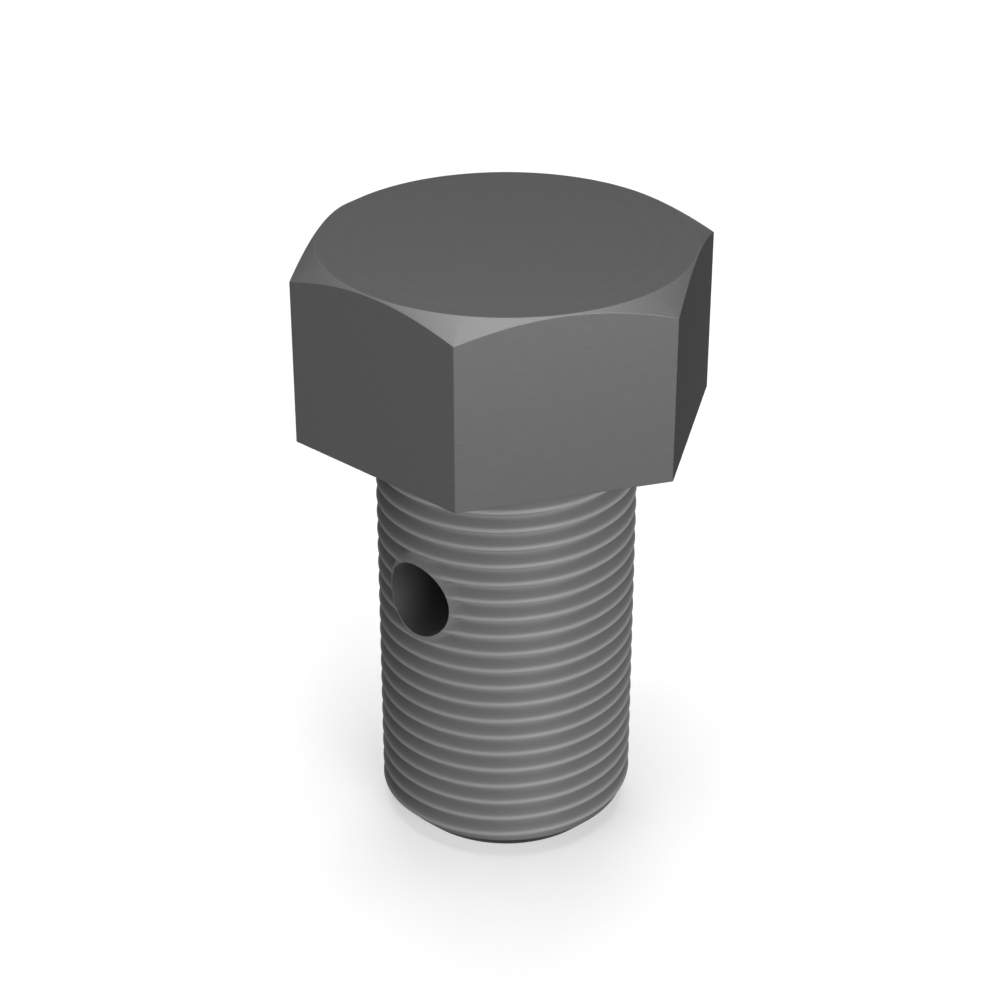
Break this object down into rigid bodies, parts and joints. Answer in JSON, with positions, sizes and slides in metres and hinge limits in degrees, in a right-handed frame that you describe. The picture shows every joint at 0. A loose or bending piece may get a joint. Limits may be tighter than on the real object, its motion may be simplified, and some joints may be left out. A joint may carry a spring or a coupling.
{
  "type": "banjo bolt",
  "caption": "Hollow hexagon-head bolt with a fine thread up to the head, a blind feed bore from the tip and a cross hole through the shank, for clamping a ring fitting.",
  "frame": {"origin": "centre of the seat under the head, on the bolt's axis", "axes": "+Z along the bolt's axis, out of the top of the head; the cross hole runs along Y, square to two of the hexagon's flats; two of its corners lie on X"},
  "size_m": [0.0162, 0.014, 0.024],
  "materials": {
    "steel": "dark satin, machined"
  },
  "bodies": {
    "root": {"banjo_bolt": "steel"}
  },
  "joints": []
}
